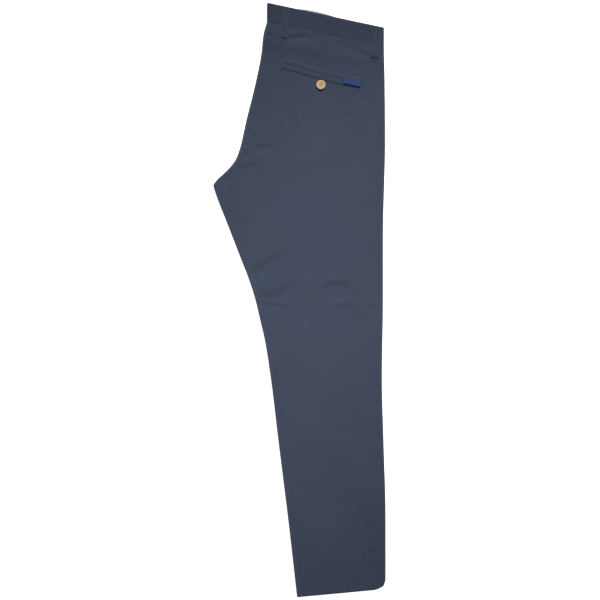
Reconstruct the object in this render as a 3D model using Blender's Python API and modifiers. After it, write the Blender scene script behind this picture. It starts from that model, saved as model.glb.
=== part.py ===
"""Chino trousers, folded in half down the back and front seams and laid on a flat surface.

The wearer's right back lies on top. Under it come the right front, the left front and
the left back, which rests on the surface. Each leg is a flattened tube of one back and
one front. Above the crotch the two legs join into one band of cloth that turns over at
the centre back, on the outside of the fold, and at the centre front, on the inside.

All sizes are in millimetres until cloth_mesh() turns them into metres.
X runs from the inside leg to the outside leg, Y from hem to waist, Z up.
"""

import math
from collections import namedtuple

import bmesh
import bpy
from mathutils import Matrix

MM = 0.001

# Cloth and clearances
CLOTH = 1.2  # wall of one layer of twill, with its seam allowance
BAND = 2.4  # the waistband is two layers and a stiffener
TRIM = 1.2  # belt loops and pocket welts
THIN = 0.9  # lining, zip tape and label
SEAM = 0.3  # between pieces that meet or lie on each other

# Waist, pocket and button sizes
BAND_HEIGHT = 37.0
BAND_PEEK = 3.5  # how far the front waistband stands above the back one
PEEK_FROM, PEEK_TO = -6.0, 70.0
BAND_SETBACK = 0.8  # elsewhere the front waistband ends this far below the back one
LOOP_WIDTH = 13.0
WELT = 9.5  # height of each of the two welts of a back pocket
BUTTON_ACROSS = 18.0
BUTTON_THICK = 2.4
BUTTON_WELL = 9.0  # across the sunken middle
BUTTON_FLOOR = 0.5  # height of the sunken middle above the button's own middle
BUTTON_HOLE = 1.9
BUTTON_HOLE_SPREAD = 3.4  # between neighbouring holes
POCKET_BUTTON = (41.0, 414.0)
WAIST_BUTTON = (-33.0, 546.0)
FLY_LENGTH_ROWS = 6
LABEL_SIZE = (33.0, 12.0)
LABEL_AT = (102.0, 419.5)
LABEL_TURN = -12.0  # degrees
LEFT_LEG_IN = 1.5  # the lower leg lies this far inside the upper one
LEAST_REACH = 1.8  # a rolled edge is never narrower than this
HEM_CORNER_FROM, HEM_CORNER_RISE = 141.0, 9.0  # the outer hem corner is rounded off
FOLD_FADE = 12.0  # the folds die out over this much beside each edge
LINING_DEPTH, LINING_IN = 14.0, 2.0

# Outline of the folded garment, walked from hem to waist along each edge
Edge = namedtuple("Edge", "y x")
INNER_EDGE = [
    Edge(-572, -5), Edge(-423, -22), Edge(-270, -41), Edge(-154, -55), Edge(-77, -67),
    Edge(-38, -76), Edge(0, -85), Edge(38, -97), Edge(77, -112), Edge(154, -142),
    Edge(192, -157), Edge(212, -164.5), Edge(221.5, -167), Edge(231, -160), Edge(250, -140),
    Edge(270, -124), Edge(290, -116), Edge(346, -103), Edge(423, -84), Edge(480, -73),
    Edge(510, -70), Edge(539, -62), Edge(572, -54),
]
OUTER_EDGE = [
    Edge(-556, 163), Edge(-546, 166), Edge(-423, 166), Edge(-270, 162), Edge(-154, 159),
    Edge(0, 161), Edge(115, 161), Edge(308, 165), Edge(423, 164), Edge(487, 162.5),
    Edge(524, 163.5),
]

# Sections across the folded garment: where each meets the inner and the outer edge, the
# rows of faces up to the next one, how far the fronts stop short of the centre-back edge,
# and the height of the middle of each layer.
Section = namedtuple("Section", "y_in y_out rows inset left_back left_front right_front right_back")
SECTIONS = [
    Section(-571.5, -556, 1, 0, 0.6, 5.6, 7.1, 12.1),  # hem
    Section(-553, -539, 2, 0, 0.6, 5.6, 7.1, 12.1),  # top of the turn-up
    Section(-460, -456, 1, 0, 0.6, 5.6, 7.1, 12.1),
    Section(-400, -400, 6, 0, 0.6, 5.6, 7.1, 12.1),
    Section(-30, -30, 6, 0, 0.6, 5.6, 7.1, 12.1),  # knee
    Section(100, 100, 2, 0, 0.6, 5.6, 7.1, 12.1),
    Section(192, 192, 1, 0, 0.6, 5.6, 7.1, 12.1),
    Section(208, 208, 1, 0, 0.6, 5.6, 7.1, 12.1),
    Section(217, 217, 1, 0, 0.6, 5.6, 7.1, 12.1),
    Section(221.5, 221.5, 1, 0, 0.6, 5.6, 7.1, 12.1),  # crotch point
    Section(227, 227, 1, 3, 0.6, 5.5, 7.2, 12.1),
    Section(237, 237, 1, 8, 0.6, 5.3, 7.6, 12.2),
    Section(252, 252, 1, 12, 0.6, 5.2, 8.2, 12.3),
    Section(275, 272, 2, 14, 0.6, 5.2, 8.9, 12.6),
    Section(355, 335, 2, 14, 0.6, 5.4, 9.2, 12.9),  # hip
    Section(418, 378, 2, 14, 3.3, 6.3, 9.7, 13.3),  # below the pockets
    Section(480, 435, 1, 14, 3.3, 6.3, 10.7, 14.6),  # above the pockets
    Section(506, 459, 1, 14, 2.5, 6.7, 12.4, 16.6),
    Section(535, 487, 0, 14, 2.5, 6.7, 12.4, 16.6),  # waist seam
]
SIDE = {"right": 1, "left": -1}  # the right leg is the upper half of the stack
CROTCH_Y = 221.5
INSEAM_Y = 200.0  # above this the inside-leg seam bends to the crotch point
BACKS_CLOSING, BACKS_MET = 2.0, 8.0  # insets of the fronts between which the two backs close
LEG_EDGE_BLEND = 60.0  # the lower leg's inner edge comes out to the upper one's over this much
BAND_LEVEL = {"left_back": 2.7, "left_front": 6.7, "right_front": 12.4, "right_back": 16.4}
BAND_MIDDLE = 9.55  # half-way up the folded waistband

# Soft folds across the upper back panel: from one end to the other, depth and half width
Fold = namedtuple("Fold", "x0 y0 x1 y1 depth half_width")
FOLDS = [
    Fold(-95, 44, -28, 88, 1.6, 16),
    Fold(-88, 8, -4, 30, 1.2, 14),
    Fold(40, 17, 96, 20, 1.0, 13),
    Fold(-84, -10, 110, -12, 0.8, 13),
    Fold(-24, 366, -8, 333, 1.2, 15),
]

# A back pocket's mouth runs between these two ends and sags a little towards the side seam
POCKET_FROM, POCKET_TO = (-32.0, 455.0), (119.5, 417.0)
POCKET_SAG = 5.0
POCKET_STEPS = 6

# Belt loops, from the middle of the top end to the middle of the lower end
Loop = namedtuple("Loop", "top_x top_y low_x low_y low_width")
BACK_LOOP = Loop(-23, 562, -33, 504, 15.0)
SIDE_LOOP = Loop(152.5, 525, 145, 466, 14.0)
FRONT_LOOP = Loop(42, 547, 34, 489, 14.0)

ARC_STEPS = 4
MIDDLE_COLUMNS = {"right_back": 8, "right_front": 4, "left_front": 4, "left_back": 5}
Row = namedtuple("Row", "y_in y_out inset left_back left_front right_front right_back")


# ---------------------------------------------------------------- scene and materials


def clear_scene():
    for item in list(bpy.data.objects):
        bpy.data.objects.remove(item, do_unlink=True)


def new_collection(name):
    made = bpy.data.collections.new(name)
    bpy.context.scene.collection.children.link(made)
    return made


def material(name, colour, roughness):
    made = bpy.data.materials.get(name)
    if made is None:
        made = bpy.data.materials.new(name)
        made.use_nodes = True
        shader = made.node_tree.nodes["Principled BSDF"]
        shader.inputs["Base Color"].default_value = (*colour, 1.0)
        shader.inputs["Roughness"].default_value = roughness
        shader.inputs["Metallic"].default_value = 0.0
        made.diffuse_color = (*colour, 1.0)
    return made


def navy_twill(name):
    return material(name + "_twill", (0.045, 0.058, 0.095), 0.92)


# ---------------------------------------------------------------- the folded form


def along(table, y):
    """A smooth curve through an edge table, as x at a height y."""
    if y <= table[0].y:
        return table[0].x
    if y >= table[-1].y:
        return table[-1].x
    i = max(k for k in range(len(table) - 1) if table[k].y <= y)
    a, b = table[i], table[i + 1]
    span = b.y - a.y

    def slope(k):
        if k in (0, len(table) - 1):
            return (b.x - a.x) / span
        return (table[k + 1].x - table[k - 1].x) / (table[k + 1].y - table[k - 1].y)

    t = (y - a.y) / span
    t2, t3 = t * t, t * t * t
    return (
        (2 * t3 - 3 * t2 + 1) * a.x
        + (t3 - 2 * t2 + t) * span * slope(i)
        + (3 * t2 - 2 * t3) * b.x
        + (t3 - t2) * span * slope(i + 1)
    )


def rows_of(sections):
    """Every row of vertices, spaced evenly between one section and the next."""
    rows = []
    for low, high in zip(sections, sections[1:]):
        for step in range(low.rows):
            t = step / low.rows
            mix = [a + (b - a) * t for a, b in zip(low, high)]
            rows.append(Row(mix[0], mix[1], *mix[3:]))
    last = sections[-1]
    rows.append(Row(last.y_in, last.y_out, *last[3:]))
    return rows


ROWS = rows_of(SECTIONS)


def inner_x(y):
    return along(INNER_EDGE, y) + CLOTH / 2


def outer_x(y):
    return along(OUTER_EDGE, y) - CLOTH / 2


def row_y(row, x):
    """A row is a straight line across the garment; this is its y at x."""
    x_in, x_out = inner_x(row.y_in), outer_x(row.y_out)
    return row.y_in + (row.y_out - row.y_in) * (x - x_in) / (x_out - x_in)


def height_at(layer, x, y):
    """Height of the middle of a layer, away from its rolled edges."""
    for low, high in zip(ROWS, ROWS[1:]):
        y0, y1 = row_y(low, x), row_y(high, x)
        if y0 <= y <= y1:
            t = (y - y0) / (y1 - y0)
            return getattr(low, layer) * (1 - t) + getattr(high, layer) * t
    return getattr(ROWS[-1], layer)


def fold_depth(x, y):
    """How far the soft folds press the top layer down at a place."""
    total = 0.0
    for fold in FOLDS:
        dx, dy = fold.x1 - fold.x0, fold.y1 - fold.y0
        t = ((x - fold.x0) * dx + (y - fold.y0) * dy) / (dx * dx + dy * dy)
        t = min(1.0, max(0.0, t))
        gap = math.hypot(x - fold.x0 - t * dx, y - fold.y0 - t * dy)
        total += fold.depth * math.exp(-((gap / fold.half_width) ** 2))
    return total


def rolled_edge(x_end, z_end, z_level, turn, steps):
    """A quarter turn from a piece's end up or down to its level; turn is +1 at the inner edge."""
    rise = z_level - z_end
    reach = max(abs(rise), LEAST_REACH)
    points = []
    for step in range(steps):
        angle = math.pi / 2 * step / steps
        points.append((x_end + turn * reach * (1 - math.cos(angle)), z_end + rise * math.sin(angle)))
    points.append((x_end + turn * reach, z_level))
    return points


def end_gap(wall):
    """How far a rolled edge stops short of a seam, so that its slightly tilted end clears it."""
    return SEAM / 2 + wall / 2 * math.sin(math.pi / 4 / ARC_STEPS)


def upright_share(points):
    """How much of the wall's thickness stands up at the first end of a rolled edge."""
    (x0, z0), (x1, z1) = points[0], points[1]
    return abs(x1 - x0) / math.hypot(x1 - x0, z1 - z0)


# ---------------------------------------------------------------- seams between the layers


def leg_levels(row, which):
    """Heights of the middles of one leg's front and back."""
    if which == "right":
        return row.right_front, row.right_back
    return row.left_front, row.left_back


def inner_ends(row, which):
    """Where the front and the back of one leg end at the inner edge, as heights.

    Below the crotch they meet each other at the inside-leg seam. From the crotch point up,
    each meets its twin of the other leg, at the centre-back or the centre-front seam.
    """
    front, back = leg_levels(row, which)
    side = SIDE[which]
    fold_middle = (row.left_front + row.right_front) / 2
    stack_middle = (row.left_back + row.right_back) / 2
    if row.y_in <= CROTCH_Y:
        bend = min(1.0, max(0.0, (CROTCH_Y - row.y_in) / (CROTCH_Y - INSEAM_Y)))
        front_end = front + side * (abs(back - front) / 2 - end_gap(CLOTH)) * bend
        shape = rolled_edge(0.0, front_end, front, 1, ARC_STEPS)
        clear = SEAM + CLOTH / 2 * upright_share(shape)
        return front_end, front_end + side * (clear + CLOTH / 2 * math.sin(math.pi / 4 / ARC_STEPS))
    front_end = fold_middle + side * end_gap(CLOTH)
    held_up = front + side * (CLOTH / 2 + SEAM)
    drop = min(1.0, max(0.0, (row.inset - BACKS_CLOSING) / (BACKS_MET - BACKS_CLOSING)))
    back_end = held_up * (1 - drop) + (stack_middle + side * end_gap(CLOTH)) * drop
    settle = min(1.0, row.inset / BACKS_MET)
    return front * (1 - settle) + front_end * settle, back_end


def hem_corner(x):
    """How far the hem rises towards the outer corner."""
    reach = OUTER_EDGE[0].x - HEM_CORNER_FROM
    return HEM_CORNER_RISE * max(0.0, (x - HEM_CORNER_FROM) / reach) ** 2


def section_points(layer, row, middle_columns):
    """One row of vertices across a layer, as (x, y, z), from inner edge to outer edge."""
    which, piece = layer.split("_")
    level = getattr(row, layer)
    front_end, back_end = inner_ends(row, which)
    end_z = back_end if piece == "back" else front_end
    tucked = 0.0 if which == "right" else LEFT_LEG_IN
    inner_tuck = tucked * min(1.0, max(0.0, (INSEAM_Y - row.y_in) / LEG_EDGE_BLEND))
    x_start = inner_x(row.y_in) + inner_tuck + (row.inset if piece == "front" else 0.0)
    x_stop = outer_x(row.y_out) - tucked
    seam_z = sum(leg_levels(row, which)) / 2
    seam_z += math.copysign(end_gap(CLOTH), level - seam_z)
    inner = rolled_edge(x_start, end_z, level, 1, ARC_STEPS)
    outer = rolled_edge(x_stop, seam_z, level, -1, ARC_STEPS)[::-1]
    flat_from, flat_to = inner[-1][0], outer[0][0]
    middle = [
        (flat_from + (flat_to - flat_from) * k / middle_columns, level)
        for k in range(1, middle_columns)
    ]
    points = []
    for x, z in inner + middle + outer:
        y = row_y(row, x)
        if layer == "right_back":
            beside = min(x - x_start, x_stop - x) / FOLD_FADE - 0.5
            z -= fold_depth(x, y) * min(1.0, max(0.0, beside))
        points.append((x, y, z))
    if row is ROWS[0]:
        points = [(x, y + tucked + hem_corner(x), z) for x, y, z in points]
    if row is ROWS[-1]:
        points = [(x, y - SEAM / 2, z) for x, y, z in points]
    return points


# ---------------------------------------------------------------- making solids


def cloth_mesh(name, rows, thickness, up, collection, skin):
    """An open sheet of quads, facing up or down, with its wall grown to both sides by Solidify."""
    mesh = bpy.data.meshes.new(name)
    built = bmesh.new()
    grid = [[built.verts.new((x * MM, y * MM, z * MM)) for x, y, z in row] for row in rows]
    for low, high in zip(grid, grid[1:]):
        for a, b, c, d in zip(low, low[1:], high[1:], high):
            built.faces.new((a, b, c, d) if up else (d, c, b, a))
    built.to_mesh(mesh)
    built.free()
    made = bpy.data.objects.new(name, mesh)
    collection.objects.link(made)
    made.data.materials.append(skin)
    mesh.shade_smooth()
    wall = made.modifiers.new("wall", "SOLIDIFY")
    wall.thickness = thickness * MM
    wall.offset = 0.0
    return made


def leg_panel(layer, collection):
    rows = [section_points(layer, row, MIDDLE_COLUMNS[layer]) for row in ROWS]
    cloth_mesh(layer + "_panel", rows, CLOTH, True, collection, navy_twill("panel"))


def band_line(x, height):
    """The waistband's y at x, from its seam (0) to its top edge (BAND_HEIGHT)."""
    return row_y(ROWS[-1], x) + height


def band_path(which):
    """The middle of one half of the waistband, from centre back round the side to centre front."""
    row = ROWS[-1]
    side = SIDE[which]
    back, front = BAND_LEVEL[which + "_back"], BAND_LEVEL[which + "_front"]
    tucked = 0.0 if which == "right" else LEFT_LEG_IN
    left = inner_x(row.y_in) + BAND / 2 - CLOTH / 2
    right = outer_x(row.y_out) - tucked - (BAND - CLOTH) / 2
    end = BAND_MIDDLE + side * end_gap(BAND)
    start = rolled_edge(left, end, back, 1, ARC_STEPS)
    close = rolled_edge(left + row.inset, end, front, 1, ARC_STEPS)[::-1]
    turn = abs(back - front) / 2
    middle_z = (back + front) / 2
    centre_x = right - turn
    path = [(x, z, 0) for x, z in start]
    path += [(start[-1][0] + (centre_x - start[-1][0]) * k / 4, back, 0) for k in range(1, 4)]
    for step in range(7):
        angle = math.pi / 2 - math.pi * step / 6
        z = middle_z + side * turn * math.sin(angle)
        path.append((centre_x + turn * math.cos(angle), z, step / 6))
    path += [(centre_x + (close[0][0] - centre_x) * k / 8, front, 1) for k in range(1, 8)]
    path += [(x, z, 1) for x, z in close]
    return path


def peek(x):
    """How far the front waistband's top edge stands above the back one's."""
    t = (x - PEEK_FROM) / (PEEK_TO - PEEK_FROM)
    if not 0 < t < 1:
        return -BAND_SETBACK
    return -BAND_SETBACK + (BAND_PEEK + BAND_SETBACK) * math.sin(math.pi * t) ** 0.5


def waistband(which, collection):
    path = band_path(which)
    rows = []
    for height in (SEAM / 2, BAND_HEIGHT / 2, BAND_HEIGHT):
        row = []
        for x, z, front in path:
            rise = peek(x) * (height / BAND_HEIGHT) ** 2 if which == "right" else -BAND_SETBACK
            row.append((x, band_line(x, height) + (front * rise if height > SEAM else 0.0), z))
        rows.append(row)
    cloth_mesh(which + "_waistband", rows, BAND, which == "right", collection, navy_twill("waistband"))


def flat_strip(name, corners, columns, layer_z, thickness, collection, skin):
    """A strip between two edge lines, each given as a list of (x, y); layer_z gives its middle."""
    rows = []
    for k in range(columns + 1):
        t = k / columns
        rows.append([
            (x0 + (x1 - x0) * t, y0 + (y1 - y0) * t, layer_z(x0 + (x1 - x0) * t, y0 + (y1 - y0) * t))
            for (x0, y0), (x1, y1) in zip(*corners)
        ])
    cloth_mesh(name, rows, thickness, True, collection, skin)


def belt_loop(name, loop, z, collection):
    """A flat strap whose ends lie along the slope of the waistband."""
    rows = []
    for x, y, across in (
        (loop.low_x, loop.low_y, loop.low_width),
        (loop.top_x, loop.top_y, LOOP_WIDTH),
    ):
        rise = band_line(x - across / 2, 0) - band_line(x, 0)
        rows.append([(x - across / 2, y + rise, z), (x + across / 2, y - rise, z)])
    cloth_mesh(name, rows, TRIM, True, collection, navy_twill("loop"))


def pocket_mouth(t, offset):
    """A point beside the pocket's mouth, at a share of its length and a distance above it."""
    (x0, y0), (x1, y1) = POCKET_FROM, POCKET_TO
    length = math.hypot(x1 - x0, y1 - y0)
    x = x0 + (x1 - x0) * t - (y1 - y0) / length * offset
    y = y0 + (y1 - y0) * t + (x1 - x0) / length * offset
    return x, y - POCKET_SAG * t * math.sin(math.pi * t)


def pocket_welts(which, collection):
    """Two welts side by side along the pocket's mouth, lying on the back panel."""
    layer = which + "_back"
    lift = SIDE[which] * (CLOTH / 2 + SEAM + TRIM / 2)
    steps = [k / POCKET_STEPS for k in range(POCKET_STEPS + 1)]
    for name, low, high in (("lower", -WELT, -SEAM / 2), ("upper", SEAM / 2, WELT)):
        edges = [[pocket_mouth(t, offset) for t in steps] for offset in (low, high)]
        flat_strip(
            f"{which}_pocket_{name}_welt", edges, 1,
            lambda x, y: height_at(layer, x, y) + lift, TRIM, collection, navy_twill("pocket"),
        )


def label(collection):
    """A bare woven tab over the outer end of the right pocket."""
    turn = math.radians(LABEL_TURN)
    edges = []
    for v in (-LABEL_SIZE[1] / 2, LABEL_SIZE[1] / 2):
        edges.append([
            (LABEL_AT[0] + u * math.cos(turn) - v * math.sin(turn),
             LABEL_AT[1] + u * math.sin(turn) + v * math.cos(turn))
            for u in (-LABEL_SIZE[0] / 2, 0.0, LABEL_SIZE[0] / 2)
        ])
    lift = CLOTH / 2 + SEAM + TRIM + SEAM + THIN / 2
    flat_strip(
        "right_pocket_label", edges, 1,
        lambda x, y: height_at("right_back", x, y) + lift, THIN, collection,
        material("label_weave", (0.02, 0.05, 0.16), 0.6),
    )


def button(name, centre, z, face_up, collection, cutters):
    """A four-hole button: a rounded disc with a sunken middle and four sewing holes."""
    x, y = centre
    bpy.ops.mesh.primitive_cylinder_add(
        vertices=24, radius=BUTTON_ACROSS / 2 * MM, depth=BUTTON_THICK * MM, location=(0, 0, 0)
    )
    disc = bpy.context.object
    disc.name = name
    disc.data.name = name
    for owner in list(disc.users_collection):
        owner.objects.unlink(disc)
    collection.objects.link(disc)
    disc.data.materials.append(material("button_horn", (0.62, 0.42, 0.24), 0.35))
    edge = disc.modifiers.new("rounded_rim", "BEVEL")
    edge.width = 0.6 * MM
    edge.segments = 1
    edge.limit_method = "ANGLE"
    cuts = [(0.0, 0.0, BUTTON_WELL, BUTTON_FLOOR, 20)]
    half = BUTTON_HOLE_SPREAD / 2
    for dx in (-half, half):
        for dy in (-half, half):
            cuts.append((dx, dy, BUTTON_HOLE, -BUTTON_THICK, 8))
    placed = Matrix.Translation((x * MM, y * MM, z * MM))
    if not face_up:
        placed = placed @ Matrix.Rotation(math.pi, 4, "X")
    top = BUTTON_THICK
    for index, (dx, dy, across, low, sides) in enumerate(cuts):
        bpy.ops.mesh.primitive_cylinder_add(
            vertices=sides, radius=across / 2 * MM, depth=(top - low) * MM,
            location=(dx * MM, dy * MM, (top + low) / 2 * MM),
        )
        cutter = bpy.context.object
        cutter.name = f"{name}_cutter_{index}"
        for owner in list(cutter.users_collection):
            owner.objects.unlink(cutter)
        cutters.objects.link(cutter)
        cutter.hide_render = True
        cutter.display_type = "WIRE"
        cut = disc.modifiers.new(f"cut_{index}", "BOOLEAN")
        cut.operation = "DIFFERENCE"
        cut.solver = "EXACT"
        cut.object = cutter
        cutter.matrix_world = placed @ cutter.matrix_world
    disc.matrix_world = placed


def fly(collection):
    """The fly's shield on the right front and its closed zip on the left, both on the inside."""
    rows = ROWS[-FLY_LENGTH_ROWS:]
    pieces = [
        ("fly_shield", "right_front", 7.0, 38.0, 1, navy_twill("fly")),
        ("fly_zip", "left_front", 8.0, 30.0, -1, material("zip_tape", (0.03, 0.035, 0.05), 0.7)),
    ]
    for name, layer, near, far, side, skin in pieces:
        lift = side * (CLOTH / 2 + SEAM + THIN / 2)
        grid = []
        for row in rows:
            start = inner_x(row.y_in) + row.inset
            y_low = -2.0 if row is rows[-1] else 0.0
            grid.append([
                (start + x, row_y(row, start + x) + y_low, getattr(row, layer) + lift)
                for x in (near, far)
            ])
        cloth_mesh(name, grid, THIN, True, collection, skin)


def band_lining(collection):
    """The pale lining on the inside of the front waistband, where it stands up into view."""
    z = BAND_LEVEL["right_front"] + BAND / 2 + SEAM + THIN / 2
    columns = 6
    rows = []
    for height in (BAND_HEIGHT - LINING_DEPTH, BAND_HEIGHT):
        row = []
        for k in range(columns + 1):
            x = PEEK_FROM + LINING_IN + (PEEK_TO - PEEK_FROM - 2 * LINING_IN) * k / columns
            row.append((x, band_line(x, height) + peek(x) - SEAM, z))
        rows.append(row)
    cloth_mesh(
        "front_band_lining", rows, THIN - 0.1, True, collection,
        material("lining_cotton", (0.42, 0.42, 0.40), 0.9),
    )


def main():
    clear_scene()
    trousers = new_collection("chino_trousers")
    cutters = new_collection("cutters")
    for layer in MIDDLE_COLUMNS:
        leg_panel(layer, trousers)
    for which, side in SIDE.items():
        waistband(which, trousers)
        pocket_welts(which, trousers)
        on_band = side * (BAND / 2 + SEAM + TRIM / 2)
        belt_loop(which + "_back_belt_loop", BACK_LOOP, BAND_LEVEL[which + "_back"] + on_band, trousers)
        belt_loop(which + "_side_belt_loop", SIDE_LOOP, BAND_LEVEL[which + "_back"] + on_band, trousers)
        belt_loop(which + "_front_belt_loop", FRONT_LOOP, BAND_LEVEL[which + "_front"] - on_band, trousers)
        panel_z = height_at(which + "_back", *POCKET_BUTTON)
        on_panel = side * (CLOTH / 2 + SEAM + BUTTON_THICK / 2)
        button(which + "_pocket_button", POCKET_BUTTON, panel_z + on_panel, side > 0, trousers, cutters)
    button("waist_button", WAIST_BUTTON, BAND_MIDDLE, False, trousers, cutters)
    label(trousers)
    fly(trousers)
    band_lining(trousers)


main()
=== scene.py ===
# %% [markdown]
# # Chino trousers, folded in half and laid flat
#
# A pair of navy cotton-twill chinos lies folded down the back and front seams, with the
# right back on top. There are four layers of cloth: right back, right front, left front
# and left back. Each leg is a flattened tube. This lesson gives every layer its real
# creases and rolls around the plain construction model, which is loaded first and never
# changed.

# %% Load the construction model
import math
from collections import namedtuple

import bpy
import numpy as np
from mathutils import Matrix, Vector
from mathutils.bvhtree import BVHTree


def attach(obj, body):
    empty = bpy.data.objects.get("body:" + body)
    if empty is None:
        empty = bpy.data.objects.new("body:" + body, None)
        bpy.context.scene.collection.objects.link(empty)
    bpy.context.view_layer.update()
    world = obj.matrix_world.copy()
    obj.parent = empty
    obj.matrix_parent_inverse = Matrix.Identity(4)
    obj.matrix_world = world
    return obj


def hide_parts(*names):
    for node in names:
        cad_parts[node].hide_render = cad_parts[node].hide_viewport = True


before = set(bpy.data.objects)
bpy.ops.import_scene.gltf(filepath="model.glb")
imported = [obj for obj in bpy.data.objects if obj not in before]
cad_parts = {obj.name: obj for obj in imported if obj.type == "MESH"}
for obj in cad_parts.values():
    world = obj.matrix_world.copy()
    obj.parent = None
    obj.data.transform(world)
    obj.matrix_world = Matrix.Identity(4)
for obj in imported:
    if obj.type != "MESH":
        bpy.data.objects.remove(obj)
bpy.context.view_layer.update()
MM = 0.001

# %% [markdown]
# ## The folded outline
#
# A laid-flat garment is easiest to describe by its two long edges and a few sections
# across it. The inner edge is two curves that meet in a point at the crotch, so that the
# point stays sharp: the inside-leg seam below it and the centre-back seam above. A section
# says where the edges are met and how high each of the four layers lies. All of this is in
# millimetres, X towards the outside leg, Y towards the waist and Z up.

# %% Edges and sections of the folded garment
CROTCH_Y = 221.5
INSIDE_LEG = {  # y: x
    -572: -5, -423: -22, -270: -41, -154: -55, -77: -67, -38: -76, 0: -85, 38: -97,
    77: -112, 154: -142, 192: -157, 212: -164, CROTCH_Y: -167,
}
BACK_SEAM = {
    CROTCH_Y: -167, 231: -160, 250: -140, 270: -124, 290: -116, 346: -103, 423: -84,
    480: -73, 510: -70, 539: -62, 572: -54,
}
OUTER_EDGE = {
    -556: 163, -546: 166, -423: 166, -270: 162, -154: 159, 0: 161, 115: 161, 308: 165,
    423: 164, 487: 162.5, 524: 163.5,
}
Section = namedtuple("Section", "y_in y_out inset left_back left_front right_front right_back")
SECTIONS = [
    Section(-571.5, -556, 0, 0.6, 5.6, 7.1, 12.1),  # hem
    Section(-553, -539, 0, 0.6, 5.6, 7.1, 12.1),
    Section(-460, -456, 0, 0.6, 5.6, 7.1, 12.1),
    Section(-400, -400, 0, 0.6, 5.6, 7.1, 12.1),
    Section(-30, -30, 0, 0.6, 5.6, 7.1, 12.1),  # knee
    Section(100, 100, 0, 0.6, 5.6, 7.1, 12.1),
    Section(217, 217, 0, 0.6, 5.6, 7.1, 12.1),
    Section(221.5, 221.5, 0, 0.6, 5.6, 7.1, 12.1),  # crotch point
    Section(227, 227, 3, 0.6, 5.5, 7.2, 12.1),
    Section(237, 237, 8, 0.6, 5.3, 7.6, 12.2),
    Section(252, 252, 12, 0.6, 5.2, 8.2, 12.3),
    Section(275, 272, 14, 0.6, 5.2, 8.9, 12.6),
    Section(355, 335, 14, 0.6, 5.4, 9.2, 12.9),  # hip
    Section(418, 378, 14, 3.3, 6.3, 9.7, 13.3),  # below the pockets
    Section(480, 435, 14, 3.3, 6.3, 10.7, 14.6),  # above the pockets
    Section(506, 459, 14, 2.5, 6.7, 12.4, 16.6),
    Section(535, 487, 14, 2.5, 6.7, 12.4, 16.6),  # waist seam
]
WAIST_SEAM = SECTIONS[-1]
STATIONS = [s.y_in for s in SECTIONS]
CLOTH = 1.1  # the finished cloth's wall, a little under the construction's 1.2
SIDE = {"right": 1, "left": -1}  # the right leg is the upper half of the stack
LEFT_LEG_IN = 1.5  # the lower leg lies this far inside the upper one


def smooth(table, at):
    """A curve through a table that never overshoots it, so edges keep their true width."""
    keys = np.array(list(table.keys()), float)
    values = np.array(list(table.values()), float)
    step = np.diff(keys)
    rise = np.diff(values) / step
    same_way = rise[:-1] * rise[1:] > 0
    near, far = 2 * step[1:] + step[:-1], step[1:] + 2 * step[:-1]
    safe_a, safe_b = np.where(same_way, rise[:-1], 1), np.where(same_way, rise[1:], 1)
    slope = np.empty_like(values)
    slope[1:-1] = np.where(same_way, (near + far) / (near / safe_a + far / safe_b), 0)
    slope[0], slope[-1] = rise[0], rise[-1]
    at = np.clip(np.asarray(at, float), keys[0], keys[-1])
    i = np.clip(np.searchsorted(keys, at) - 1, 0, len(keys) - 2)
    t = (at - keys[i]) / step[i]
    return (
        (2 * t**3 - 3 * t**2 + 1) * values[i]
        + (t**3 - 2 * t**2 + t) * step[i] * slope[i]
        + (3 * t**2 - 2 * t**3) * values[i + 1]
        + (t**3 - t**2) * step[i] * slope[i + 1]
    )


def section_value(field, y_in):
    return smooth({s.y_in: getattr(s, field) for s in SECTIONS}, y_in)


def inner_x(y):
    return np.where(y <= CROTCH_Y, smooth(INSIDE_LEG, y), smooth(BACK_SEAM, y)) + CLOTH / 2


def outer_x(y):
    return smooth(OUTER_EDGE, y) - CLOTH / 2


def waist_y(x):
    """The waist seam is a straight line that slopes down to the side seam."""
    x0, x1 = inner_x(WAIST_SEAM.y_in), outer_x(WAIST_SEAM.y_out)
    return WAIST_SEAM.y_in + (WAIST_SEAM.y_out - WAIST_SEAM.y_in) * (x - x0) / (x1 - x0)


print("across the crotch, mm:", round(float(outer_x(CROTCH_Y) - inner_x(CROTCH_Y)), 1))

# %% [markdown]
# ## One layer as a grid
#
# Each layer of cloth is a grid of points. Across the garment a row runs flat, and at both
# ends it rolls up or down to the seam where it meets its neighbour, as the edge of a
# pressed leg does. Below the crotch a back rolls to its own front. Above it the backs roll
# to each other round the outside of the fold, and the fronts to each other round the
# inside. The grid is made directly, because the roll changes its direction along the way,
# which no single primitive does.

# %% Where each layer rolls at its edges
ROLL_STEPS = 8
LEAST_REACH = 1.8
INSEAM_Y = 200.0  # above this the inside-leg seam bends to the crotch point
BACKS_CLOSING, BACKS_MET = 2.0, 8.0
SEAM_GAP = 0.06  # pieces that are sewn together are drawn this close


def ease(t):
    t = np.clip(t, 0, 1)
    return t * t * (3 - 2 * t)


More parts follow.
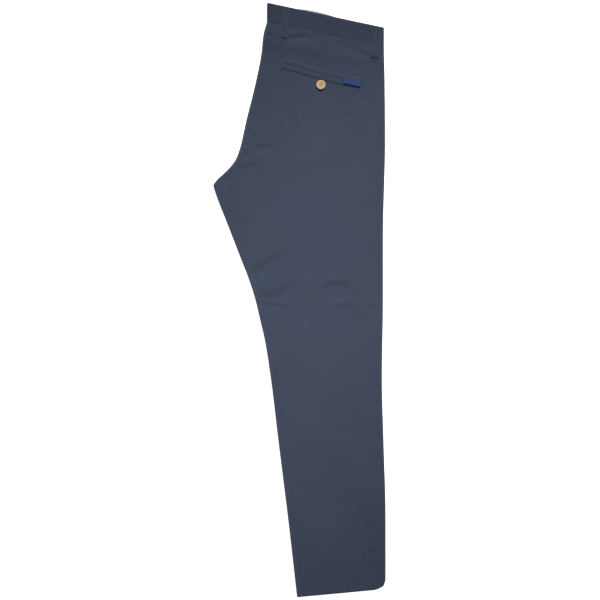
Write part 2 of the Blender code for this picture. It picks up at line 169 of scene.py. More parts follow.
def inner_ends(which, y_in):
    """Heights at which one leg's front and back end at the inner edge."""
    side = SIDE[which]
    front, back = section_value(which + "_front", y_in), section_value(which + "_back", y_in)
    inset = section_value("inset", y_in)
    bend = np.clip((CROTCH_Y - y_in) / (CROTCH_Y - INSEAM_Y), 0, 1)
    low_front = front + side * (abs(back - front) / 2 - SEAM_GAP) * bend
    low_back = low_front + side * (2 * SEAM_GAP + CLOTH * 0.6 * (1 - bend))
    fold = (section_value("left_front", y_in) + section_value("right_front", y_in)) / 2
    stack = (section_value("left_back", y_in) + section_value("right_back", y_in)) / 2
    settle = np.clip(inset / BACKS_MET, 0, 1)
    drop = np.clip((inset - BACKS_CLOSING) / (BACKS_MET - BACKS_CLOSING), 0, 1)
    high_front = front * (1 - settle) + (fold + side * SEAM_GAP) * settle
    held = front + side * (CLOTH * 0.6 + 2 * SEAM_GAP)
    high_back = held * (1 - drop) + (stack + side * SEAM_GAP) * drop
    below = y_in <= CROTCH_Y
    return np.where(below, low_front, high_front), np.where(below, low_back, high_back)


def roll(x_end, z_end, z_level, turn):
    """Quarter turns from the ends of all rows to their level; turn is +1 at the inner edge."""
    angle = np.linspace(0, math.pi / 2, ROLL_STEPS + 1)
    rise = (z_level - z_end)[:, None]
    reach = np.maximum(np.abs(rise), LEAST_REACH)
    x = x_end[:, None] + turn * reach * (1 - np.cos(angle))
    return x, z_end[:, None] + rise * np.sin(angle)


def hem_corner(x):
    """The hem rises towards its outer corner."""
    return 9.0 * np.clip((x - 141.0) / 24.0, 0, None) ** 2


def layer_grid(layer, y_in, columns):
    """The middle surface of a layer: rows of points from its inner to its outer edge."""
    which, piece = layer.split("_")
    level = section_value(layer, y_in)
    ends = dict(zip(("front", "back"), inner_ends(which, y_in)))
    y_out = section_value("y_out", y_in)
    tucked = LEFT_LEG_IN if which == "left" else 0.0
    inner_tuck = tucked * np.clip((INSEAM_Y - y_in) / 60.0, 0, 1)
    x_start = inner_x(y_in) + inner_tuck
    if piece == "front":
        x_start = x_start + section_value("inset", y_in)
    x_stop = outer_x(y_out) - tucked
    both = (section_value(which + "_front", y_in) + section_value(which + "_back", y_in)) / 2
    seam_z = both + np.sign(level - both) * SEAM_GAP
    in_x, in_z = roll(x_start, ends[piece], level, 1)
    out_x, out_z = roll(x_stop, seam_z, level, -1)
    share = np.linspace(0, 1, columns + 1)[1:-1]
    mid_x = in_x[:, -1:] + (out_x[:, -1:] - in_x[:, -1:]) * share
    x = np.hstack([in_x, mid_x, out_x[:, ::-1]])
    z = np.hstack([in_z, np.repeat(level[:, None], len(share), 1), out_z[:, ::-1]])
    across = (x - inner_x(y_in)[:, None]) / (outer_x(y_out) - inner_x(y_in))[:, None]
    y = y_in[:, None] + (y_out - y_in)[:, None] * across
    near_hem = ease((-500 - y) / 60.0)
    y = y + (tucked + hem_corner(x)) * near_hem
    return np.dstack([x, y, z])


def row_stations(spacing, crotch_spacing):
    """Rows are closer together at the crotch point, where the seams change direction."""
    low, high = STATIONS[0], STATIONS[-1] + 1.5
    cuts = [low, CROTCH_Y - 26, CROTCH_Y, CROTCH_Y + 34, high]
    gaps = [spacing, crotch_spacing, crotch_spacing, spacing]
    parts = [
        np.linspace(a, b, max(2, round((b - a) / g)), endpoint=False)
        for a, b, g in zip(cuts, cuts[1:], gaps)
    ]
    return np.append(np.concatenate(parts), high)


print("rows of the top layer:", len(row_stations(3.6, 1.6)))

# %% [markdown]
# ## Listed creases
#
# Laid-out trousers keep creases where they were packed: puckers under the waistband,
# an arch of short folds at the crotch, soft troughs over the knee, and crumples at the hem.
# Each is a short line with a depth and a half width. Its valley has a soft lip along one
# side, because cloth that is pushed together has nowhere to go but up. Listing them
# gives the same creases every time and puts each one where it belongs; a simulation would
# not.

# %% Crease tables
Crease = namedtuple("Crease", "line depth left_width right_width lip")
RIGHT_BACK_CREASES = [
    # under the waistband, from centre back to the side
    Crease([(-22, 503), (0, 508), (18, 512)], 1.5, 3.6, 9.36, 0.5),
    Crease([(-18, 499), (6, 502), (26, 505), (45, 506)], 1.1, 8.32, 3.2, 0.5),
    Crease([(-66, 512), (-52, 509)], 0.9, 3, 7.8, 0.4),
    Crease([(-70, 476), (-56, 479), (-42, 483)], 0.8, 3.6, 9.36, 0.4),
    Crease([(66, 489), (88, 494), (112, 493)], 1, 6, 15.6, 0.3),
    Crease([(104, 481), (118, 477), (130, 471), (137, 462), (143, 450)], 1.2, 3.6, 9.36, 0.5),
    Crease([(140, 462), (150, 455), (160, 446)], 0.7, 4, 10.4, 0.4),
    # hip
    Crease([(-26, 368), (-14, 352), (-8, 332)], 0.9, 5, 13, 0.4),
    Crease([(-84, 379), (-58, 378)], 0.5, 5, 13, 0.3),
    Crease([(86, 364), (98, 350), (108, 334)], 0.6, 11, 28.6, 0.2),
    Crease([(128, 404), (134, 388), (136, 370)], 0.4, 8, 20.8, 0.2),
    # crotch
    Crease([(-93, 322), (-86, 312), (-79, 305)], 0.9, 3.4, 8.84, 0.5),
    Crease([(-92, 301), (-82, 296), (-72, 293), (-60, 297)], 1, 3.6, 9.36, 0.5),
    Crease([(-78, 284), (-68, 287), (-57, 292)], 0.8, 9.36, 3.6, 0.5),
    Crease([(-110, 288), (-103, 288)], 0.7, 3.2, 8.32, 0.3),
    Crease([(-117, 274), (-106, 281), (-95, 287)], 0.7, 3.4, 8.84, 0.5),
    Crease([(-85, 279), (-80, 262), (-77, 244)], 0.5, 4.4, 11.4, 0.4),
    Crease([(-109, 251), (-98, 257), (-87, 258)], 0.8, 4.4, 11.4, 0.5),
    Crease([(-131, 254), (-136, 233), (-139, 210)], 0.9, 3.6, 9.36, 0.6),
    Crease([(-62, 197), (-45, 206), (-26, 217)], 0.35, 9, 23.4, 0.2),
    # thigh and knee
    Crease([(-100, 42), (-84, 53), (-64, 67), (-44, 80), (-26, 90)], 1.5, 7.5, 19.5, 0.45),
    Crease([(-88, 8), (-66, 4), (-46, 7), (-26, 19), (-2, 32)], 1.15, 6.5, 16.9, 0.45),
    Crease([(42, 15), (52, 24), (66, 30), (82, 28), (98, 17)], 1.1, 5, 13, 0.5),
    Crease([(-84, -7), (-64, -11), (-44, -12), (-16, -18)], 0.6, 3.6, 9.36, 0.8),
    Crease([(56, -18), (72, -15), (90, -12), (110, -9)], 0.6, 3.6, 9.36, 0.8),
    Crease([(136, -16), (158, -14)], 0.5, 3.6, 9.36, 0.7),
    Crease([(108, -22), (114, -30), (122, -40)], 0.45, 4, 10.4, 0.3),
    Crease([(10, 60), (38, 66), (60, 60)], 0.3, 12, 31.2, 0.2),
    # calf and hem
    Crease([(-18, -245), (2, -247), (18, -244)], 0.25, 7, 18.2, 0.2),
    Crease([(146, -369), (166, -372)], 0.7, 2.6, 6.76, 0.4),
    Crease([(74, -382), (80, -389)], 0.5, 3.6, 9.36, 0.2),
    Crease([(132, -441), (140, -433), (150, -429)], 0.6, 3.6, 9.36, 0.5),
    Crease([(138, -462), (148, -452), (158, -449)], 0.6, 3.2, 8.32, 0.5),
    Crease([(126, -492), (136, -483), (146, -484)], 0.7, 3.4, 8.84, 0.5),
    Crease([(150, -480), (158, -470), (165, -468)], 0.6, 3, 7.8, 0.5),
    Crease([(138, -519), (146, -509), (152, -498)], 0.8, 3.2, 8.32, 0.5),
    Crease([(156, -512), (160, -502), (165, -496)], 0.6, 3, 7.8, 0.5),
    Crease([(148, -536), (156, -528), (160, -518)], 0.8, 3, 7.8, 0.5),
    Crease([(124, -536), (134, -530), (141, -521)], 0.5, 3.4, 8.84, 0.4),
    Crease([(96, -548), (112, -543), (128, -547)], 0.35, 4, 10.4, 0.3),
]
LEFT_BACK_CREASES = [
    Crease([(-40, 505), (-12, 503), (20, 507)], 1, 4, 10.4, 0.5),
    Crease([(70, 482), (102, 478), (126, 466)], 1, 5, 13, 0.4),
    Crease([(-95, 312), (-82, 300), (-64, 297)], 1, 4.5, 11.7, 0.5),
    Crease([(-116, 268), (-100, 279), (-84, 282)], 0.8, 4.5, 11.7, 0.5),
    Crease([(-128, 240), (-132, 222), (-130, 204)], 0.8, 4.5, 11.7, 0.5),
    Crease([(-92, 60), (-60, 72), (-30, 64)], 1.1, 8, 20.8, 0.4),
    Crease([(-80, 20), (-48, 12), (-10, 24)], 0.9, 7, 18.2, 0.4),
    Crease([(50, 6), (84, 14), (118, 4)], 0.9, 6, 15.6, 0.5),
    Crease([(-78, -10), (-20, -16), (60, -14), (150, -12)], 0.5, 4, 10.4, 0.8),
    Crease([(20, 360), (34, 344), (40, 322)], 0.7, 7, 18.2, 0.3),
    Crease([(120, -470), (140, -462), (156, -450)], 0.6, 4, 10.4, 0.5),
    Crease([(134, -520), (146, -506), (156, -500)], 0.7, 3.6, 9.36, 0.5),
]


def crease_height(creases, x, y):
    """How far the creases push the cloth's outer face in (negative) or out (positive)."""
    height = np.zeros_like(x)
    for crease in creases:
        line = np.array(crease.line, float)
        lengths = np.hypot(*np.diff(line, axis=0).T)
        total, walked = lengths.sum(), 0.0
        best = np.full_like(x, 1e9)
        across, along = np.zeros_like(x), np.zeros_like(x)
        for (x0, y0), (x1, y1), length in zip(line, line[1:], lengths):
            ux, uy = (x1 - x0) / length, (y1 - y0) / length
            s = (x - x0) * ux + (y - y0) * uy
            held = np.clip(s, 0, length)
            gap = np.hypot(x - x0 - held * ux, y - y0 - held * uy)
            nearer = gap < best
            best = np.where(nearer, gap, best)
            signed = np.sign((y - y0) * ux - (x - x0) * uy) * gap
            across = np.where(nearer, signed, across)
            along = np.where(nearer, (walked + held) / total, along)
            walked += length
        fade = np.sin(math.pi * np.clip(0.12 + 0.8 * along, 0, 1)) ** 0.8
        wide = np.where(across > 0, crease.left_width, crease.right_width)
        valley = np.exp(-((across / wide) ** 2))
        beside = 2.1 * crease.left_width
        lip = crease.lip * np.exp(-(((across - beside) / (1.5 * crease.left_width)) ** 2))
        height += crease.depth * fade * (lip - valley)
    return height


def slow_waves(x, y, phase):
    """The faint unevenness of cloth that was pressed but never quite flat."""
    return 0.16 * (
        np.sin(x / 21 + y / 57 + phase)
        + np.sin(x / 34 - y / 43 + 1.7 * phase + 2)
        + 0.7 * np.sin(x / 13 + y / 29 + 2.3 * phase + 4)
        + 0.5 * np.sin(-x / 17 + y / 15 + phase)
    )


print("creases on the top layer:", len(RIGHT_BACK_CREASES))

# %% [markdown]
# ## From grid to cloth
#
# A sheet of cloth starts as an open surface and gets its wall from Solidify, grown to both
# sides. A UV map in metres follows the cloth across and along, so that the weave can run
# with the cloth over every roll. A second value on each point says how worn the cloth is:
# garment-dyed twill is a little paler where it rubs, along folds, seams and hems.

# %% Helpers that turn a grid into a piece
def normals_of(grid):
    across = np.gradient(grid, axis=1)
    along = np.gradient(grid, axis=0)
    normal = np.cross(across, along)
    return normal / np.maximum(np.linalg.norm(normal, axis=2, keepdims=True), 1e-12)


def select_only(obj):
    bpy.ops.object.select_all(action="DESELECT")
    obj.select_set(True)
    bpy.context.view_layer.objects.active = obj


def apply_all(obj):
    select_only(obj)
    for modifier in list(obj.modifiers):
        bpy.ops.object.modifier_apply(modifier=modifier.name)


def grid_piece(name, grid, outside, wall, rim=0.0, wear=None, uv_from=None):
    """A sheet from a grid of points in mm; outside is +1 where rows by columns face out."""
    rows, columns = grid.shape[:2]
    index = np.arange(rows * columns).reshape(rows, columns)
    quads = np.stack([index[:-1, :-1], index[:-1, 1:], index[1:, 1:], index[1:, :-1]], -1)
    quads = quads.reshape(-1, 4)
    if outside < 0:
        quads = quads[:, ::-1]
    mesh = bpy.data.meshes.new(name)
    mesh.from_pydata((grid.reshape(-1, 3) * MM).tolist(), [], quads.tolist())
    flow = grid if uv_from is None else uv_from
    u = np.cumsum(np.linalg.norm(np.diff(flow, axis=1, prepend=flow[:, :1]), axis=2), axis=1)
    v = np.cumsum(np.linalg.norm(np.diff(flow, axis=0, prepend=flow[:1]), axis=2), axis=0)
    u = u - u[:, columns // 2 : columns // 2 + 1]
    uv = np.dstack([u, np.repeat(v[:, columns // 2 : columns // 2 + 1], columns, 1)]) * MM
    layer = mesh.uv_layers.new(name="cloth")
    corners = np.array([loop.vertex_index for loop in mesh.loops])
    layer.data.foreach_set("uv", uv.reshape(-1, 2)[corners].ravel())
    worn = mesh.attributes.new("wear", "FLOAT", "POINT")
    worn.data.foreach_set("value", np.zeros(rows * columns) if wear is None else wear.ravel())
    obj = bpy.data.objects.new(name, mesh)
    bpy.context.scene.collection.objects.link(obj)
    thick = obj.modifiers.new("wall", "SOLIDIFY")
    thick.thickness, thick.offset = wall * MM, 0.0
    if rim:
        round_off = obj.modifiers.new("rim", "BEVEL")
        round_off.width, round_off.segments = rim * MM, 3
        round_off.limit_method, round_off.angle_limit = "ANGLE", math.radians(50)
    apply_all(obj)
    obj.data.shade_smooth()
    return obj


def finish_piece(obj, skin, slot, *nodes):
    """Rides the piece on the one body, gives it its finish and hides the construction parts it stands
    for.
    """
    obj.data.materials.clear()
    obj.data.materials.append(skin)
    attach(obj, "root")
    if nodes:
        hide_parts(*nodes)
    return obj


# %% [markdown]
# ## Shader helpers
#
# Materials read best as formulas. `Value` wraps a socket, so that `+`, `-` and `*` add
# Math nodes, and `Shader.node` makes any other node from its type, its settings and its
# inputs.

# %% Shader maths as expressions
class Value:
    def __init__(self, shader, socket):
        self.shader, self.socket = shader, socket

    def maths(self, operation, *others):
        return self.shader.node("ShaderNodeMath", {"operation": operation}, [self, *others])

    def __add__(self, other):
        return self.maths("ADD", other)

    def __radd__(self, other):
        return self.maths("ADD", other)

    def __sub__(self, other):
        return self.maths("SUBTRACT", other)

    def __rsub__(self, other):
        return self.shader.node("ShaderNodeMath", {"operation": "SUBTRACT"}, [other, self])

    def __mul__(self, other):
        return self.maths("MULTIPLY", other)

    def __rmul__(self, other):
        return self.maths("MULTIPLY", other)

    def __truediv__(self, other):
        return self.maths("DIVIDE", other)

    def clamp(self):
        return self.shader.node("ShaderNodeClamp", {}, [self])


class Shader:
    """A new material with one Principled BSDF, and the node maker."""

    def __init__(self, name):
        self.material = bpy.data.materials.new(name)
        self.material.use_nodes = True
        self.tree = self.material.node_tree
        self.surface = self.tree.nodes["Principled BSDF"]

    def put(self, socket, value):
        if isinstance(value, Value):
            self.tree.links.new(value.socket, socket)
        else:
            socket.default_value = value

    def node(self, kind, settings=None, inputs=None, output=0):
        made = self.tree.nodes.new(kind)
        for key, value in (settings or {}).items():
            setattr(made, key, value)
        items = inputs.items() if isinstance(inputs, dict) else enumerate(inputs or [])
        for key, value in items:
            self.put(made.inputs[key], value)
        return Value(self, made.outputs[output])

    def mix_colour(self, factor, first, second):
        """Colour sockets of a Mix node are numbers 6 and 7, and its colour comes out at 2."""
        made = self.tree.nodes.new("ShaderNodeMix")
        made.data_type = "RGBA"
        for key, value in ((0, factor), (6, first), (7, second)):
            self.put(made.inputs[key], value)
        return Value(self, made.outputs[2])

    def noise(self, vector, scale, detail=2.0, rough=0.5):
        return self.node(
            "ShaderNodeTexNoise", {},
            {"Vector": vector, "Scale": scale, "Detail": detail, "Roughness": rough},
        )

    def set(self, **values):
        for key, value in values.items():
            self.put(self.surface.inputs[key.replace("_", " ")], value)


print("shader helpers ready")

# %% [markdown]
# ## Navy twill
#
# Chino cloth is cotton drill: the weft goes over two warps and under one, and each row
# steps one thread along, which draws fine steep diagonal lines at a little over half a
# millimetre. It was dyed as a finished garment, so the colour is uneven at the scale of a
# hand and paler where seams and folds rub. Cotton scatters light from its fuzz, which the
# sheen gives, and has almost no gloss.

# %% The twill material
TWILL_PITCH = 0.00062  # metres between the diagonal lines
NAVY = (0.0425, 0.0545, 0.0905)
NAVY_PALE = (0.062, 0.076, 0.118)
NAVY_DEEP = (0.031, 0.041, 0.069)


def shade(colour, factor):
    return tuple(c * factor for c in colour) + (1.0,)


def twill(name, tone=1.0, line_depth=0.00009):
    cloth = Shader(name)
    uv = cloth.node("ShaderNodeUVMap", {"uv_map": "cloth"})
    place = cloth.node("ShaderNodeTexCoord", output="Object")
    apart = cloth.node("ShaderNodeSeparateXYZ", {}, [uv])
    across = apart
    along = Value(cloth, apart.socket.node.outputs[1])
    step = 2 * math.pi / TWILL_PITCH
    line = (across * (0.87 * step) + along * (0.5 * step)).maths("SINE")
    weft = (along * (1.9 * step)).maths("SINE")
    yarn = cloth.noise(uv, 2400.0, 2.0)
    slub = cloth.noise(uv, 310.0, 3.0, 0.6)
    patch = cloth.noise(place, 9.0, 3.0, 0.55)
    wear = cloth.node("ShaderNodeAttribute", {"attribute_name": "wear"}, output="Fac")
    cloudy = ((patch - 0.5) * 1.6 + 0.5).clamp()
    base = cloth.mix_colour(cloudy, shade(NAVY_DEEP, tone * 1.18), shade(NAVY, tone * 1.06))
    threads = ((slub - 0.5) * 0.9 + (yarn - 0.5) * 0.8 + line * 0.08 + 0.35).clamp()
    base = cloth.mix_colour(threads * 0.45, base, shade(NAVY_PALE, tone))
    base = cloth.mix_colour((wear * (0.35 + slub * 0.6)).clamp(), base, shade(NAVY_PALE, tone * 1.25))
    relief = line * 0.5 + weft * 0.16 + (yarn - 0.5) * 0.9 + (slub - 0.5) * 1.2
    bump = cloth.node(
        "ShaderNodeBump", {},
        {"Strength": 0.55, "Distance": line_depth, "Height": relief},
    )
    cloth.set(Base_Color=base, Normal=bump, Roughness=0.9)
    cloth.set(Sheen_Weight=0.12, Sheen_Roughness=0.5, Sheen_Tint=(0.55, 0.62, 0.8, 1.0))
    cloth.surface.inputs["Specular IOR Level"].default_value = 0.22
    return cloth.material


TWILL = {
    "leg": twill("leg_twill", 1.0),
    # the waistband twill is darker (tone 0.86): partly painted shade for the light falling off
    # towards the waist, partly the thicker band's own darker cloth
    "band": twill("waistband_twill_with_painted_shade", 0.86),
    "trim": twill("trim_twill", 0.94),
}
print("twill finishes:", ", ".join(m.name for m in TWILL.values()))

# %% [markdown]
# ## The four leg panels
#
# The top panel shows most, so its grid is the finest, and it carries all the creases.
# The left back is the underside and has creases of its own. The two fronts are hidden and
# stay plain. At the hem each panel turns up inside: its grid goes round a tight roll and
# 18 mm back up, a wall's thickness further in, as the real turn-up does.

# %% Panels with creases, wear and a turned-up hem
TURN_UP = 18.0
HEM_ROLL = 3  # steps round the hem's edge
FACE = {"right_back": 1, "right_front": -1, "left_front": 1, "left_back": -1}
GRIDS = {  # row spacing, row spacing at the crotch, columns
    "right_back": (3.4, 1.7, 84),
    "left_back": (4.6, 2.0, 60),
    "right_front": (9.0, 2.4, 24),
    "left_front": (9.0, 2.4, 24),
}
CREASES = {"right_back": RIGHT_BACK_CREASES, "left_back": LEFT_BACK_CREASES}


def away_from_edges(grid):
    """Zero at the rolled edges of each row and one 12 mm inside them."""
    x = grid[:, :, 0]
    beside = np.minimum(x - x[:, :1], x[:, -1:] - x)
    return ease((beside - 1.0) / 11.0)


def creased(layer, grid):
    """The layer pushed in and out of its outer face by its creases and slow waves."""
    x, y = grid[:, :, 0], grid[:, :, 1]
    inside = away_from_edges(grid)
    height = crease_height(CREASES.get(layer, []), x, y)
    height = height + slow_waves(x, y, 1.0 + STATIONS[0] * FACE[layer])
    # the panel is flat under the waist seam and the left back stays off the floor
    height = height * ease((waist_y(x) - y - 2.0) / 14.0)
    if layer == "left_back":
        height = np.minimum(height, 0.05)
    out = grid.copy()
    out[:, :, 2] += FACE[layer] * height * inside
    return out


def hem_wear(grid):
    """How pale the cloth is: along both rolled edges and along the hem."""
    x, y = grid[:, :, 0], grid[:, :, 1]
    beside = np.minimum(x - x[:, :1], x[:, -1:] - x)
    low = grid[0, :, 1][None, :]
    return np.maximum(0.55 * np.exp(-beside / 2.2), 0.5 * np.exp(-np.abs(y - low) / 2.5))


def turned_up(grid, facing, spacing):
    """Adds the hem's roll and its inner turn-up below the first row."""
    inward = -facing * normals_of(grid)
    apart = CLOTH + 0.15
    rows = max(3, round(TURN_UP / spacing))
    up_at = np.linspace(TURN_UP, 0.0, rows)
    lengths = grid[:, :, 1] - grid[:1, :, 1]
    inner = []
    for height in up_at:
        row = np.empty_like(grid[0])
        for c in range(grid.shape[1]):
            k = min(np.searchsorted(lengths[:, c], height), len(grid) - 1)
            below = max(k - 1, 0)
            span = lengths[k, c] - lengths[below, c]
            t = (height - lengths[below, c]) / span if span > 1e-9 else 0.0
            point = grid[below, c] * (1 - t) + grid[k, c] * t
            row[c] = point + inward[below, c] * apart
        inner.append(row)
    around = []
    for step in range(1, HEM_ROLL):
        angle = math.pi * step / HEM_ROLL
        centre = grid[0] + inward[0] * apart / 2
        arm = inward[0] * math.cos(angle) * apart / 2
        down = np.array([0, -1.0, 0]) * math.sin(angle) * apart / 2
        around.append(centre + arm + down)
    return np.concatenate([np.array(inner), np.array(around), grid])


def leg_panel(layer):
    spacing, crotch_spacing, columns = GRIDS[layer]
    flat = layer_grid(layer, row_stations(spacing, crotch_spacing), columns)
    shaped = creased(layer, flat)
    full = turned_up(shaped, FACE[layer], spacing)
    wear = hem_wear(shaped)
    wear = np.concatenate([np.repeat(wear[:1], len(full) - len(wear), 0), wear])
    panel = grid_piece(layer + "_cloth", full, FACE[layer], CLOTH, wear=wear)
    return finish_piece(panel, TWILL["leg"], "navy_twill", layer + "_panel")


panels = {layer: leg_panel(layer) for layer in GRIDS}
for panel in panels.values():
    print(panel.name, "quads:", len(panel.data.polygons))

# %% [markdown]
# ## The waistband
#
# A waistband is a folded strip with a stiffener inside, so it is thicker than the legs and
# its upper edge is a soft fold. Each half runs from the centre back, over the side and on
# to the centre front, round the same folds as the legs. The front half stands a little
# above the back one in the middle, because a front waist is cut straighter.

# %% Waistband halves
BAND_HEIGHT = 37.0
BAND_WALL = 2.3
BAND_LEVEL = {"left_back": 2.7, "left_front": 6.7, "right_front": 12.4, "right_back": 16.4}
BAND_MIDDLE = 9.55
PEEK_FROM, PEEK_TO, BAND_PEEK, BAND_SETBACK = -6.0, 70.0, 3.5, 0.8
BAND_CREASES = [
    Crease([(66, 540), (64, 526), (65, 512)], 0.35, 2.4, 6.24, 0.5),
    Crease([(78, 538), (77, 522), (75, 508)], 0.45, 2.6, 6.76, 0.5),
    Crease([(92, 535), (90, 520), (91, 504)], 0.4, 2.6, 6.76, 0.5),
    Crease([(-60, 556), (-46, 550), (-34, 549)], 0.35, 4, 10.4, 0.4),
    Crease([(-8, 528), (18, 522), (40, 516)], 0.4, 3.4, 8.84, 0.4),
    Crease([(20, 545), (44, 536), (60, 534)], 0.25, 5, 13, 0.3),
    Crease([(112, 500), (128, 498), (140, 500)], 0.4, 3, 7.8, 0.4),
]


def peek(x):
    """How far the front waistband's top edge stands above the back one's."""
    t = np.clip((x - PEEK_FROM) / (PEEK_TO - PEEK_FROM), 0, 1)
    return -BAND_SETBACK + (BAND_PEEK + BAND_SETBACK) * np.sin(math.pi * t) ** 0.5


def band_path(which):
    """The middle of half the waistband as x, z and 0 (back) to 1 (front)."""
    side = SIDE[which]
    back, front = BAND_LEVEL[which + "_back"], BAND_LEVEL[which + "_front"]
    tucked = LEFT_LEG_IN if which == "left" else 0.0
    left = float(inner_x(WAIST_SEAM.y_in)) + 0.6
    right = float(outer_x(WAIST_SEAM.y_out)) - tucked - 0.6
    end = np.array([BAND_MIDDLE + side * SEAM_GAP])
    start_x, start_z = roll(np.array([left]), end, np.array([back]), 1)
    close_x, close_z = roll(np.array([left + WAIST_SEAM.inset]), end, np.array([front]), 1)
    turn = abs(back - front) / 2
    angle = np.linspace(math.pi / 2, -math.pi / 2, 13)
    parts = [
        (start_x[0], start_z[0], np.zeros(ROLL_STEPS + 1)),
        (np.linspace(start_x[0, -1], right - turn, 90)[1:-1], np.full(88, back), np.zeros(88)),
        (right - turn + turn * np.cos(angle), (back + front) / 2 + side * turn * np.sin(angle),
         np.linspace(0, 1, 13)),
        (np.linspace(right - turn, close_x[0, -1], 60)[1:-1], np.full(58, front), np.ones(58)),
        (close_x[0, ::-1], close_z[0, ::-1], np.ones(ROLL_STEPS + 1)),
    ]
    return [np.concatenate(part) for part in zip(*parts)]


def waistband(which):
    x, z, front = band_path(which)
    heights = np.linspace(0.0, BAND_HEIGHT, 17)
    rise = peek(x) if which == "right" else np.full_like(x, -BAND_SETBACK)
    grid = np.empty((len(heights), len(x), 3))
    for row, height in zip(grid, heights):
        row[:, 0] = x
        row[:, 1] = waist_y(x) + height + front * rise * (height / BAND_HEIGHT) ** 2
        row[:, 2] = z
    back_part = (front == 0) & (x > x.min() + 4) & (x < x.max() - 4)
    bumps = crease_height(BAND_CREASES, grid[:, :, 0], grid[:, :, 1])
    bumps = bumps + 0.5 * slow_waves(grid[:, :, 0], grid[:, :, 1], 5.0)
    across = np.sin(math.pi * heights / BAND_HEIGHT)[:, None] ** 0.6
    if which == "left":
        bumps = np.minimum(0.7 * bumps, 0.0)
    grid[:, :, 2] += SIDE[which] * bumps * across * back_part[None, :]
    wear = np.repeat((0.5 * np.exp(-(BAND_HEIGHT - heights) / 2.0))[:, None], len(x), 1)
    band = grid_piece(which + "_waistband_cloth", grid, SIDE[which], BAND_WALL, 1.0, wear)
    return finish_piece(band, TWILL["band"], "navy_twill", which + "_waistband")


bands = {which: waistband(which) for which in SIDE}
print("waistband quads:", [len(b.data.polygons) for b in bands.values()])

# %% [markdown]
# ## Laying trim on the cloth
#
# Loops and welts lie on a finished surface. The welts' heights are read from that
# surface by dropping a line on to it, so that they follow every crease; the loops sit at a
# fixed height over the waistband.

# %% Dropping points on to a finished surface
def tree_of(*objects):
    verts, polys = [], []
    for obj in objects:
        start = len(verts)
        verts += [v.co.copy() for v in obj.data.vertices]
        polys += [[start + i for i in p.vertices] for p in obj.data.polygons]
    return BVHTree.FromPolygons(verts, polys)


FAR = 0.1  # metres, well above or below the garment


def touch(tree, x, y, side):
    """The height in mm at which a line from above (+1) or below (-1) meets the cloth."""
    hit = tree.ray_cast(Vector((x * MM, y * MM, side * FAR)), Vector((0, 0, -side)))[0]
    return None if hit is None else hit.z / MM


outer_face = {
    "right": tree_of(panels["right_back"], bands["right"]),
    "left": tree_of(panels["left_back"], bands["left"]),
}
print("height on the knee, mm:", round(touch(outer_face["right"], 60, -40, 1), 2))

# %% [markdown]
# ## Belt loops
#
# A belt loop is a strip folded in three and sewn down both sides, laid over the waistband
# and tacked at each end. Its edges stand up a little beyond the two stitch lines.

# %% Belt loops
Loop = namedtuple("Loop", "top_x top_y low_x low_y low_width")
LOOPS = {
    "back": Loop(-23, 562, -33, 504, 15.0),
    "side": Loop(152.5, 525, 145, 466, 14.0),
    "front": Loop(42, 547, 34, 489, 14.0),
}
LOOP_WIDTH = 13.0
LOOP_WALL = 1.0
LOOP_STITCH = 0.31  # of the loop's width, from its middle


def loop_grid(loop, z_at, side):
    along = np.linspace(0, 1, 34)
    across = np.linspace(-0.5, 0.5, 13)
    t, w = np.meshgrid(along, across, indexing="ij")
    width = loop.low_width + (LOOP_WIDTH - loop.low_width) * t
    slope = (WAIST_SEAM.y_out - WAIST_SEAM.y_in) / (outer_x(487) - inner_x(535))
    x = loop.low_x + (loop.top_x - loop.low_x) * t + w * width
    y = loop.low_y + (loop.top_y - loop.low_y) * t + w * width * slope
    ends = ease(t / 0.06) * ease((1 - t) / 0.04)
    crown = 0.16 * (1 - (2 * w) ** 2)
    groove = -0.22 * np.exp(-(((np.abs(w) - LOOP_STITCH) / 0.045) ** 2))
    edge = 0.22 * np.exp(-(((w - 0.46) / 0.07) ** 2))
    z = z_at + side * ((crown + groove + edge) * ends - 0.35 * (1 - ends))
    return np.dstack([x, y, z])


def belt_loop(which, place):
    side = SIDE[which]
    level = BAND_LEVEL[f"{which}_{'front' if place == 'front' else 'back'}"]
    facing = -side if place == "front" else side
    grid = loop_grid(LOOPS[place], level + facing * 2.0, facing)
    width = np.linspace(-1, 1, grid.shape[1])
    wear = np.repeat((0.75 * np.abs(width) ** 6)[None, :], grid.shape[0], 0)
    loop = grid_piece(f"{which}_{place}_loop_cloth", grid, facing, LOOP_WALL, 0.3, wear)
    return finish_piece(loop, TWILL["trim"], "navy_twill", f"{which}_{place}_belt_loop")


loops = {(which, place): belt_loop(which, place) for which in SIDE for place in LOOPS}
print("belt loops:", len(loops))

# %% [markdown]
# ## The back pockets
#
# A double-welt pocket is two narrow strips that meet over a slit, edge-stitched all round.
# The welts are only a little proud of the leg, so the pocket reads as three close lines.
# They are strips that follow the mouth's line, and their heights come from the cloth.

# %% Pocket welts
POCKET_FROM, POCKET_TO, POCKET_SAG = (-32.0, 455.0), (119.5, 417.0), 5.0
WELT, WELT_WALL = 9.5, 0.9


def pocket_mouth(t, offset):
    """A point beside the pocket's mouth, at a share of its length and a distance above it."""
    (x0, y0), (x1, y1) = POCKET_FROM, POCKET_TO
    length = math.hypot(x1 - x0, y1 - y0)
    x = x0 + (x1 - x0) * t - (y1 - y0) / length * offset
    y = y0 + (y1 - y0) * t + (x1 - x0) / length * offset
    return x, y - POCKET_SAG * t * math.sin(math.pi * t)


def laid_strip(tree, side, centre, steps, offsets, lift):
    """A grid along centre(t, offset), lifted off the cloth it lies on."""
    grid = np.empty((len(steps), len(offsets), 3))
    for i, t in enumerate(steps):
        for j, offset in enumerate(offsets):
            x, y = centre(t, offset)
            grid[i, j] = x, y, touch(tree, x, y, side) + side * lift[j]
    return grid


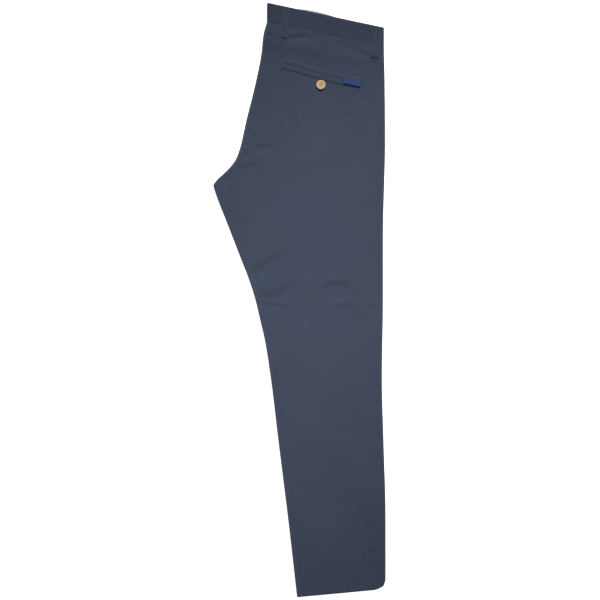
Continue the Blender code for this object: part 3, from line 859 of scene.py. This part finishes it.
def welt(which, name, low, high):
    steps = np.linspace(0.0, 1.0, 60)
    offsets = np.linspace(low, high, 9)
    place = np.linspace(-1, 1, 9)
    lift = WELT_WALL / 2 - 0.25 + 0.42 * (1 - place**2) ** 0.5
    grid = laid_strip(outer_face[which], SIDE[which], pocket_mouth, steps, offsets, lift)
    wear = np.repeat((0.7 * np.abs(place) ** 5)[None, :], len(steps), 0)
    strip = grid_piece(f"{which}_{name}_welt_cloth", grid, -SIDE[which], WELT_WALL, 0.25, wear)
    return finish_piece(strip, TWILL["trim"], "navy_twill", f"{which}_pocket_{name}_welt")


welts = {}
for which in SIDE:
    welts[which, "lower"] = welt(which, "lower", -WELT, -0.25)
    welts[which, "upper"] = welt(which, "upper", 0.25, WELT)
print("welts:", len(welts))

# %% [markdown]
# ## Stage, light and camera
#
# The garment lies on a plain white table and is seen from straight above. A soft spot
# light beyond the waist is aimed at the knees, with a dim white world around, so that the
# cloth is brightest in the middle and each crease has a light and a dark side.

# %% Camera
LENS, SENSOR = 93.0, 36.0
SEEN_ACROSS = 1.155  # metres across the picture at the garment's top layer
CAMERA_HEIGHT = SEEN_ACROSS / SENSOR * LENS + 0.013

bpy.ops.object.camera_add(location=(0.0008, 0.0, CAMERA_HEIGHT), rotation=(0, 0, 0))
camera = bpy.context.object
camera.data.lens, camera.data.sensor_width = LENS, SENSOR
bpy.context.scene.camera = camera
print("camera height, m:", round(CAMERA_HEIGHT, 3))


# %% Table top
def table_finish():
    top = Shader("white_table")
    top.set(Base_Color=(0.9, 0.9, 0.9, 1), Roughness=0.8)
    top.set(Emission_Color=(1.0, 1.0, 1.0, 1), Emission_Strength=1.0)
    return top.material


bpy.ops.mesh.primitive_plane_add(size=8.0, location=(0, 0, -0.0006))
table = bpy.context.object
table.name = "table"
table.data.materials.append(table_finish())
print("table at", table.location.z)


# %% Lights
def soft_spot(name, place, aim, radius, cone, watts):
    data = bpy.data.lights.new(name, "SPOT")
    data.energy, data.shadow_soft_size = watts, radius
    data.spot_size, data.spot_blend = math.radians(cone), 1.0
    obj = bpy.data.objects.new(name, data)
    bpy.context.scene.collection.objects.link(obj)
    obj.location = place
    direction = Vector(aim) - Vector(place)
    obj.rotation_euler = direction.to_track_quat("-Z", "Y").to_euler()
    return obj


soft_spot("key", (0.7, 3.7, 2.75), (0.0, -0.06, 0.0), 0.35, 15.0, 1500.0)
world = bpy.data.worlds.new("studio")
bpy.context.scene.world = world
world.use_nodes = True
world.node_tree.nodes["Background"].inputs["Color"].default_value = (1, 1, 1, 1)
world.node_tree.nodes["Background"].inputs["Strength"].default_value = 0.22
bpy.context.scene.view_settings.view_transform = "Standard"
